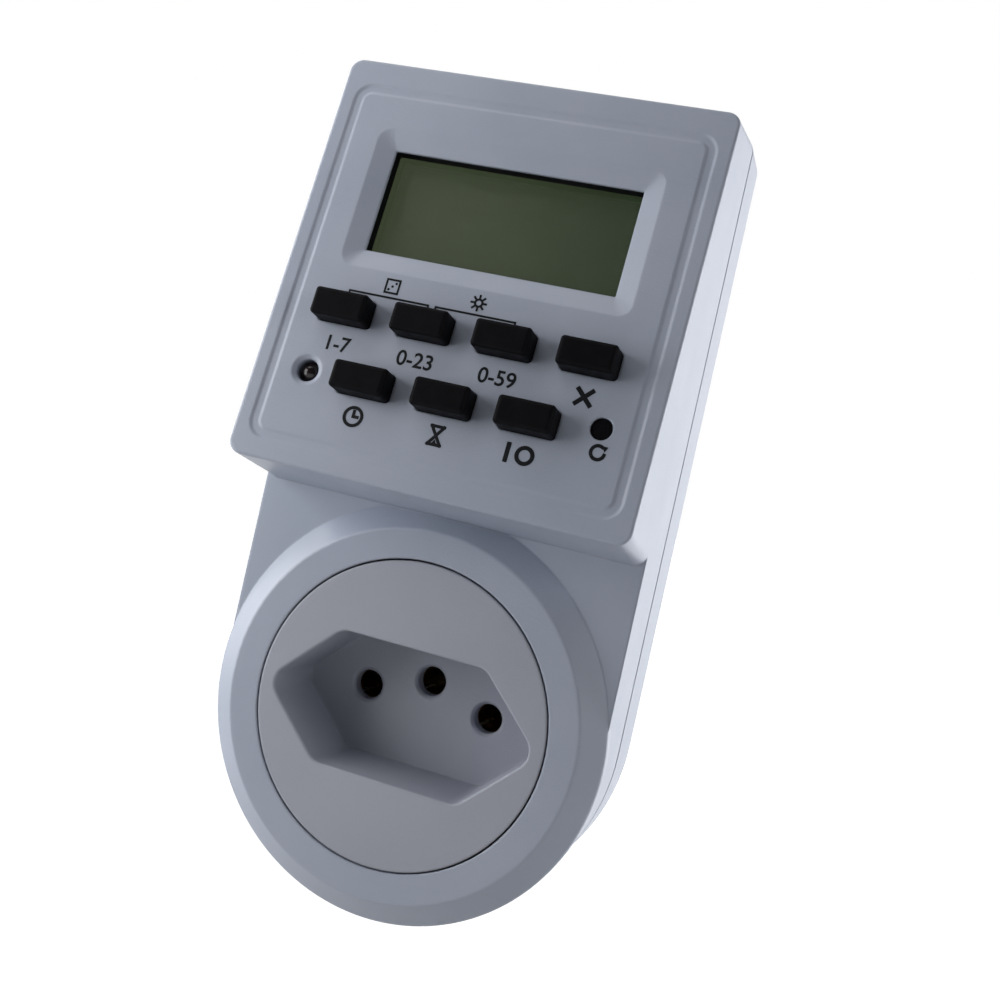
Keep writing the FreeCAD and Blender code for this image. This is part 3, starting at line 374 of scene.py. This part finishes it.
nickel = turned_metal("nickel_plated_brass", "D8D4CC", "C9C4BA", rough=0.22, mark_mm=0.25)
brass = turned_metal("stamped_brass", "957844", "5E4A2A", rough=0.42, mark_mm=0.3)
zinc_steel = turned_metal("zinc_plated_steel", "C6C7C6", "ABABA6", rough=0.32, mark_mm=0.3)
spring_steel = turned_metal("bright_spring_steel", "BEBFC2", "A6A7AA", rough=0.25, mark_mm=0.3)
print("metals:", nickel.name, brass.name, zinc_steel.name, spring_steel.name)

# %% [markdown]
# Inside the case are two boards of paper laminate, a silicone mat and a handful of components. They
# are only seen when the case is opened, yet each one has the finish of its kind, from one function
# for plain moulded or dipped parts. After a finish's name come its two tones, its roughness, and in
# millimetres the width of its patches, the width of its grain and the grain's depth.

# %% Boards, rubber and components
ROUGHNESS_SPREAD = 0.05


def plain_finish(name, main, other, rough, patch_mm, grain_mm, depth_mm):
    """Plain moulded or dipped surface with uneven tone and a fine grain."""
    material, shader = new_material(name, IOR=1.5)
    links = material.node_tree.links
    share = spread(material, size_noise(material, patch_mm, 3.0), *NOISE_MIDDLE)
    links.new(blend_colours(material, share, main, other), shader.inputs["Base Color"])
    uneven = spread(material, size_noise(material, patch_mm / 2), *NOISE_BROAD,
                    rough - ROUGHNESS_SPREAD, rough + ROUGHNESS_SPREAD)
    links.new(uneven, shader.inputs["Roughness"])
    surface_relief(material, shader, size_noise(material, grain_mm, 1.0), depth_mm)
    return material


FINISHES = {
    "white_insulator": plain_finish("moulded_urea_insulator", "DEDCD5", "D2D0C8", 0.4, 6, 0.3, 0.01),
    "silicone_mat": plain_finish("moulded_silicone_rubber", "5B5D62", "52545A", 0.7, 5, 0.25, 0.01),
    "carbon_rubber": plain_finish("carbon_filled_rubber", "1A1A1B", "242425", 0.75, 1, 0.15, 0.01),
    "board_laminate": plain_finish("paper_laminate_board", "A9864E", "9C7841", 0.5, 7, 0.4, 0.01),
    "chip_resin": plain_finish("black_epoxy_resin", "17171A", "222226", 0.35, 2, 0.3, 0.01),
    "relay_plastic": plain_finish("moulded_polyester_relay", "22437A", "1E3C70", 0.4, 5, 0.3, 0.01),
    "capacitor_plastic": plain_finish("moulded_polyester_capacitor", "B8973B", "AC8B33",
                                      0.3, 5, 0.3, 0.006),
    "capacitor_can": plain_finish("shrunk_pvc_sleeve", "2A2A33", "33333D", 0.3, 4, 0.3, 0.004),
    "varistor_coating": plain_finish("dipped_epoxy_coating", "24427E", "1D3768", 0.3, 2, 0.5, 0.02),
    "resistor_coating": plain_finish("dipped_ceramic_coating", "B79E78", "A88E67", 0.55, 2, 0.3, 0.01),
}
print("finishes of inner parts:", len(FINISHES))

# %% [markdown]
# The record names a material slot for each piece, as a buyer of parts would. The last finishes join
# the list here, and each piece then takes the one that its slot names.

# %% A finish for every piece
FINISHES.update({
    "case_plastic": case_abs,
    "insert_plastic": insert_plastic,
    "key_plastic": key_black,
    "pin_sleeve_plastic": sleeve_black,
    "lamp_resin": lamp_epoxy,
    "clear_window": window_acrylic,
    "display_glass": display_glass,
    "nickelled_pin": nickel,
    "contact_brass": brass,
    "screw_steel": zinc_steel,
    "spring_steel": spring_steel,
    "battery_steel": spring_steel,
})
slot_of = {part["node"]: part["material_slot"] for part in frame["record"]["subparts"]}
for name, node in nodes.items():
    node.data.materials.clear()
    node.data.materials.append(FINISHES[slot_of[name]])
print("finishes:", len(FINISHES), "on pieces:", len(nodes))

# %% [markdown]
# The marks on the face are pad-printed: a soft pad lays down a film of dark ink. Each mark is a thin
# flat mesh in the plane of the face. The face leans back, so one matrix moves points given across and
# up the face to their place, counted from the middle of its foot.

# %% The plane of the face
FACE_SLOPE = 0.2
FACE_FOOT_MM = (0.0, -46.8, 30.7)
lean = math.atan(FACE_SLOPE)
face_place = (Matrix.Translation(Vector(FACE_FOOT_MM) * MM)
              @ Matrix.Rotation(-lean, 4, "X") @ Matrix.Rotation(math.pi / 2, 4, "X"))
print("face foot", [round(v, 4) for v in face_place.translation])

# %% [markdown]
# Printing ink dries to a matt film that is nearly as dark as the keys and slightly uneven, because
# the pad never lays it down equally thick.

# %% Printing ink
INK_PATCH_MM = 0.8
INK_NOISE = (0.3, 0.75)


def ink_material():
    """Dark matt ink with faint uneven patches."""
    material, shader = new_material("pad_printed_ink", IOR=1.45, Roughness=0.55, Specular_IOR_Level=0.2)
    share = spread(material, size_noise(material, INK_PATCH_MM, 3.0), *INK_NOISE)
    film = blend_colours(material, share, "0B0C10", "15161A")
    material.node_tree.links.new(film, shader.inputs["Base Color"])
    return material


ink = ink_material()
print("ink:", ink.name)

# %% [markdown]
# Signs are drawn from lines of a real width. A line is a row of flat quads, a little longer than the
# stretch they cover, so that corners close. Overlapping quads at one height would flicker, so each
# next one lies a hair higher. Digits come from the built-in sans serif and are turned into a mesh.

# %% Drawing in ink
INK_LINE_MM = 0.45
INK_BOLD_MM = 0.05
INK_LIFT_MM = 0.02
NEXT_LIFT_MM = 0.0004
DIGIT_HEIGHT_MM = 2.15
SIZE_PER_DIGIT_HEIGHT = 1.38


def strip(points, width, closed=False):
    """Flat quads of a line of a given width through (across, up) points in mm."""
    quads = []
    ends = points[1:] + points[:1] if closed else points[1:]
    for (x0, y0), (x1, y1) in zip(points, ends):
        length = math.hypot(x1 - x0, y1 - y0)
        ax = (x1 - x0) / length * width / 2
        ay = (y1 - y0) / length * width / 2
        quads.append([(x0 - ax - ay, y0 - ay + ax), (x0 - ax + ay, y0 - ay - ax),
                      (x1 + ax + ay, y1 + ay - ax), (x1 + ax - ay, y1 + ay + ax)])
    return quads


def round_points(x, y, radius, start=0.0, end=360.0, count=28):
    """Points on a circle or part of one, angles in degrees."""
    steps = [math.radians(start + (end - start) * i / count) for i in range(count + 1)]
    return [(x + radius * math.cos(a), y + radius * math.sin(a)) for a in steps]


def lay_on_face(name, mesh, place):
    """Gives a mesh its ink, puts it on the face and lets it ride on the case."""
    mesh.materials.clear()
    mesh.materials.append(ink)
    piece = bpy.data.objects.new(name, mesh)
    bpy.context.scene.collection.objects.link(piece)
    piece.matrix_world = place
    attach(piece, "timer_body")


def print_mark(name, polygons):
    """One mesh of flat polygons, given in mm on the face, lifted by the film's thickness."""
    mesh = bpy.data.meshes.new(name)
    form = bmesh.new()
    for layer, polygon in enumerate(polygons):
        lift = (INK_LIFT_MM + NEXT_LIFT_MM * layer) * MM
        form.faces.new([form.verts.new((x * MM, y * MM, lift)) for x, y in polygon])
    form.to_mesh(mesh)
    form.free()
    lay_on_face(name, mesh, face_place)


def print_number(name, text, x, y):
    """Digits centred on a point of the face."""
    curve = bpy.data.curves.new(name, "FONT")
    curve.body = text
    curve.align_x = "CENTER"
    curve.align_y = "CENTER"
    curve.size = DIGIT_HEIGHT_MM * MM * SIZE_PER_DIGIT_HEIGHT
    curve.offset = INK_BOLD_MM * MM
    letter = bpy.data.objects.new(name, curve)
    bpy.context.scene.collection.objects.link(letter)
    mesh = bpy.data.meshes.new_from_object(letter)
    bpy.data.objects.remove(letter)
    mesh.name = name
    lay_on_face(name, mesh, face_place @ Matrix.Translation((x * MM, y * MM, INK_LIFT_MM * MM)))


print("ink lines are", INK_LINE_MM, "mm wide")

# %% [markdown]
# Each key has one plain mark below it: a range of numbers, a cross, a clock, an hourglass or a switch
# sign. A turning arrow stands below the small hole at the right. Every sign is drawn from a few lines
# round its own middle, so it can be moved or made larger by its arguments alone.

# %% Marks of the keys
UPPER_KEYS_ACROSS_MM = (-17.6, -5.9, 5.9, 18.0)
LOWER_KEYS_ACROSS_MM = (-12.1, 0.0, 11.7)
UPPER_MARKS_UP_MM = 17.7
LOWER_MARKS_UP_MM = 8.45
TURN_MARK_MM = (21.65, 10.98)
CROSS_HALF_MM = 0.95
ROUND_MARK_MM = 1.25
SWITCH_HALF_MM = 1.05
TURN_RADIUS_MM = 0.9
BOLD_LINE_MM = INK_LINE_MM * 1.4
RING_LINE_MM = INK_LINE_MM * 1.2


def cross_sign(x, y, half):
    return (strip([(x - half, y - half), (x + half, y + half)], BOLD_LINE_MM)
            + strip([(x - half, y + half), (x + half, y - half)], BOLD_LINE_MM))


def clock_sign(x, y, radius):
    hands = [(x, y + radius * 0.6), (x, y), (x + radius * 0.5, y)]
    return strip(round_points(x, y, radius), INK_LINE_MM) + strip(hands, INK_LINE_MM)


def hourglass_sign(x, y, half):
    glass = [(x - half * 0.7, y + half), (x + half * 0.7, y + half), (x - half * 0.7, y - half),
             (x + half * 0.7, y - half)]
    sand = [(x - half * 0.35, y - half), (x + half * 0.35, y - half), (x, y - half * 0.4)]
    return strip(glass, INK_LINE_MM, closed=True) + [sand]


def switch_sign(x, y, half):
    stroke = [(x - half * 1.6, y - half), (x - half * 1.6, y + half)]
    return strip(stroke, BOLD_LINE_MM) + strip(round_points(x + half * 0.7, y, half), RING_LINE_MM)


def turning_sign(x, y, radius):
    arrow = [(x + radius * 0.45, y + radius * 1.05), (x + radius * 1.35, y + radius * 1.05),
             (x + radius * 0.95, y + radius * 0.2)]
    return strip(round_points(x, y, radius, 60, 350), INK_LINE_MM) + [arrow]


print_number("mark_days", "1-7", UPPER_KEYS_ACROSS_MM[0], UPPER_MARKS_UP_MM)
print_number("mark_hours", "0-23", UPPER_KEYS_ACROSS_MM[1], UPPER_MARKS_UP_MM)
print_number("mark_minutes", "0-59", UPPER_KEYS_ACROSS_MM[2], UPPER_MARKS_UP_MM)
print_mark("mark_cross", cross_sign(UPPER_KEYS_ACROSS_MM[3], UPPER_MARKS_UP_MM, CROSS_HALF_MM))
print_mark("mark_clock", clock_sign(LOWER_KEYS_ACROSS_MM[0], LOWER_MARKS_UP_MM, ROUND_MARK_MM))
print_mark("mark_hourglass",
           hourglass_sign(LOWER_KEYS_ACROSS_MM[1], LOWER_MARKS_UP_MM, ROUND_MARK_MM))
print_mark("mark_switch", switch_sign(LOWER_KEYS_ACROSS_MM[2], LOWER_MARKS_UP_MM, SWITCH_HALF_MM))
print_mark("mark_turn", turning_sign(*TURN_MARK_MM, TURN_RADIUS_MM))
print("marks of keys:", len(UPPER_KEYS_ACROSS_MM) + len(LOWER_KEYS_ACROSS_MM))

# %% [markdown]
# Two brackets join neighbouring keys that do something together when both are pressed: a thin line
# with a tick down to each key, and a sign over its middle. The signs are a dice face and a sun.

# %% Brackets above the upper keys
BRACKET_UP_MM = 25.65
TICK_MM = 0.75
FINE_LINE_MM = 0.3
LEFT_BRACKET_MM = (-18.14, -6.38)
RIGHT_BRACKET_MM = (-5.27, 6.22)
DICE_PLACE_MM = (-12.2, 27.3)
DICE_HALF_MM = 0.95
SUN_PLACE_MM = (0.5, 27.35)
SUN_RADIUS_MM = 0.5
SUN_RAYS = 8
RAY_START = 1.4
RAY_END = 2.1


def bracket(name, left, right, sign):
    """A line with a tick down at each end, and the sign that belongs to it."""
    low = BRACKET_UP_MM - TICK_MM
    ends = [(left, low), (left, BRACKET_UP_MM), (right, BRACKET_UP_MM), (right, low)]
    print_mark(name, strip(ends, FINE_LINE_MM) + sign)


def dice_sign(x, y, half):
    box = [(x - half, y - half), (x + half, y - half), (x + half, y + half), (x - half, y + half)]
    dots = [(x + side * half * 0.5, y + side * half * 0.5) for side in (-1, 0, 1)]
    spots = [round_points(dx, dy, half * 0.2, count=10)[:-1] for dx, dy in dots]
    return strip(box, FINE_LINE_MM, closed=True) + spots


def sun_sign(x, y, radius):
    rays = []
    for step in range(SUN_RAYS):
        a = math.radians(360 / SUN_RAYS * step)
        rays += strip([(x + radius * reach * math.cos(a), y + radius * reach * math.sin(a))
                       for reach in (RAY_START, RAY_END)], FINE_LINE_MM)
    return strip(round_points(x, y, radius), FINE_LINE_MM) + rays


bracket("mark_bracket_left", *LEFT_BRACKET_MM, dice_sign(*DICE_PLACE_MM, DICE_HALF_MM))
bracket("mark_bracket_right", *RIGHT_BRACKET_MM, sun_sign(*SUN_PLACE_MM, SUN_RADIUS_MM))
print("bracket lines are", FINE_LINE_MM, "mm wide")

# %% [markdown]
# The photograph was taken from about 18 cm in front, a little from the right, with a normal lens held
# at a slant. Place, aim, roll and lens come from matching known points of the object, so the picture
# lines up with it.

# %% Camera
CAMERA_MM = (60.9, -214.0, 41.9)
AIM_MM = (5.96, -35.3, 43.11)
ROLL_DEG = 12.64
LENS_MM = 49.07
SENSOR_MM = 36.0
SHIFT = (-0.0063, -0.0803)


def looking(place_mm, aim_mm):
    """Matrix of a camera or lamp at one point that looks at another."""
    toward = (Vector(aim_mm) - Vector(place_mm)).normalized()
    turn = toward.to_track_quat("-Z", "Y").to_matrix().to_4x4()
    return Matrix.Translation(Vector(place_mm) * MM) @ turn


camera_data = bpy.data.cameras.new("photo_camera")
camera_data.lens = LENS_MM
camera_data.sensor_width = SENSOR_MM
camera_data.shift_x, camera_data.shift_y = SHIFT
camera_data.clip_start = 0.01
camera = bpy.data.objects.new("photo_camera", camera_data)
bpy.context.scene.collection.objects.link(camera)
camera.matrix_world = looking(CAMERA_MM, AIM_MM) @ Matrix.Rotation(math.radians(ROLL_DEG), 4, "Z")
bpy.context.scene.camera = camera
print("camera", [round(v, 4) for v in camera.matrix_world.translation])

# %% [markdown]
# The world is a white studio. Light Path tells it which ray asks: the camera sees plain white, gloss
# and glass see a white backdrop behind the object and a dim room in front of it, and as a light on
# dull surfaces the world stays low, so that pale plastic keeps its colour.

# %% White world
AMBIENT = 0.04
ROOM_IN_FRONT = 0.12
ROOM_TO_BACKDROP = (-0.2, 0.4)

scene = bpy.context.scene
scene.view_settings.view_transform = "Standard"
world = bpy.data.worlds.new("white_studio")
scene.world = world
world.use_nodes = True
backdrop = world.node_tree.nodes["Background"]
backdrop.inputs["Color"].default_value = (1, 1, 1, 1)


def mirrored_or_through(holder):
    """1 for rays that metal or gloss mirrors and rays through glass, else 0; and the light path."""
    path = add_node(holder, "LightPath").outputs
    seen = add_node(holder, "Math", settings={"operation": "MAXIMUM"},
                    links={0: path["Is Glossy Ray"], 1: path["Is Transmission Ray"]})
    return seen.outputs[0], path


direction = add_node(world, "TexCoord").outputs["Generated"]
toward_back = add_node(world, "SeparateXYZ", links={0: direction}).outputs["Y"]
around = spread(world, toward_back, *ROOM_TO_BACKDROP, ROOM_IN_FRONT, 1.0)
seen, path = mirrored_or_through(world)
strength = choose(world, seen, AMBIENT, around)
strength = choose(world, path["Is Camera Ray"], strength, 1.0)
world.node_tree.links.new(strength, backdrop.inputs["Strength"])
print("ambient", AMBIENT)

# %% [markdown]
# The floor is a wide pale sheet a little below the object. Far off it glows just enough to be seen as
# white. Near the object it glows less, so that lamplight makes it nearly white and the object's soft
# shadow still shows. It is a sheet seen from above only, which leaves the underside of the object open
# to a camera that looks up.

# %% Pale floor
FLOOR_DROP_MM = 95.0
FLOOR_HALF_MM = 3000.0
FLOOR_GREY = (0.55, 0.55, 0.55, 1)
GLOW_NEAR, GLOW_FAR = 0.6, 1.0
NEAR_MM, FAR_MM = 90.0, 330.0


def floor_sheet():
    """A flat square below the object, declared as stage."""
    mesh = bpy.data.meshes.new("studio_floor")
    half = FLOOR_HALF_MM * MM
    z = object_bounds()[0][2] - FLOOR_DROP_MM * MM
    corners = [(-half, -half, z), (half, -half, z), (half, half, z), (-half, half, z)]
    mesh.from_pydata(corners, [], [(0, 1, 2, 3)])
    floor = bpy.data.objects.new("studio_floor", mesh)
    scene.collection.objects.link(floor)
    floor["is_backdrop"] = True
    return floor


def floor_material():
    """Pale matt sheet that glows with distance and is open from below."""
    material, shader = new_material("white_floor", Base_Color=FLOOR_GREY, Roughness=0.9,
                                    Emission_Color=(1, 1, 1, 1))
    links = material.node_tree.links
    place = add_node(material, "TexCoord").outputs["Object"]
    flat = add_node(material, "VectorMath", settings={"operation": "MULTIPLY"}, links={0: place})
    flat.inputs[1].default_value = (1, 1, 0)
    reach = add_node(material, "VectorMath", settings={"operation": "LENGTH"},
                     links={0: flat.outputs["Vector"]}).outputs["Value"]
    glow = spread(material, reach, NEAR_MM * MM, FAR_MM * MM, GLOW_NEAR, GLOW_FAR)
    seen, path = mirrored_or_through(material)
    seen = add_node(material, "Math", settings={"operation": "MAXIMUM"},
                    links={0: seen, 1: path["Is Camera Ray"]}).outputs[0]
    links.new(choose(material, seen, 0.0, glow), shader.inputs["Emission Strength"])
    below = add_node(material, "NewGeometry").outputs["Backfacing"]
    open_side = add_node(material, "BsdfTransparent").outputs[0]
    sheet = add_node(material, "MixShader", links={0: below, 1: shader.outputs[0], 2: open_side})
    links.new(sheet.outputs[0], material.node_tree.nodes["Material Output"].inputs["Surface"])
    return material


floor = floor_sheet()
floor.data.materials.append(floor_material())
print("floor at", round(floor.data.vertices[0].co.z, 4))

# %% [markdown]
# Four soft lamps shape the object, much as a table by a window does. The wide one at the left is the
# main light: it gives the keys their soft shadows to the right and the ring its bright left flank. A
# small one above the left side lights the slopes round the display. The two at the right brighten the
# side wall, the brightest face in the photograph. All are weak enough that no pale surface turns plain
# white, and cameras don't see the lamps themselves. Each row gives a lamp's place, its width and
# height, and its power in watts.

# %% Soft lamps
AIM_POINT_MM = (0, -40, 30)
LAMPS = {
    "left_lamp": ((-219, -111, 60), (300, 200), 0.74),
    "upper_left_lamp": ((-91, -73, 238), (160, 160), 0.16),
    "right_lamp": ((466, -165, 159), (320, 320), 0.6),
    "right_rear_lamp": ((380, 275, 60), (320, 300), 1.9),
}


def soft_lamp(name, place_mm, size_mm, power):
    """A wide flat lamp that looks at the object and that cameras don't see."""
    lamp = bpy.data.lights.new(name, "AREA")
    lamp.shape = "RECTANGLE"
    lamp.size = size_mm[0] * MM
    lamp.size_y = size_mm[1] * MM
    lamp.energy = power
    holder = bpy.data.objects.new(name, lamp)
    scene.collection.objects.link(holder)
    holder.visible_camera = False
    holder.matrix_world = looking(place_mm, AIM_POINT_MM)


for name, values in LAMPS.items():
    soft_lamp(name, *values)
print("lamps:", len(LAMPS))
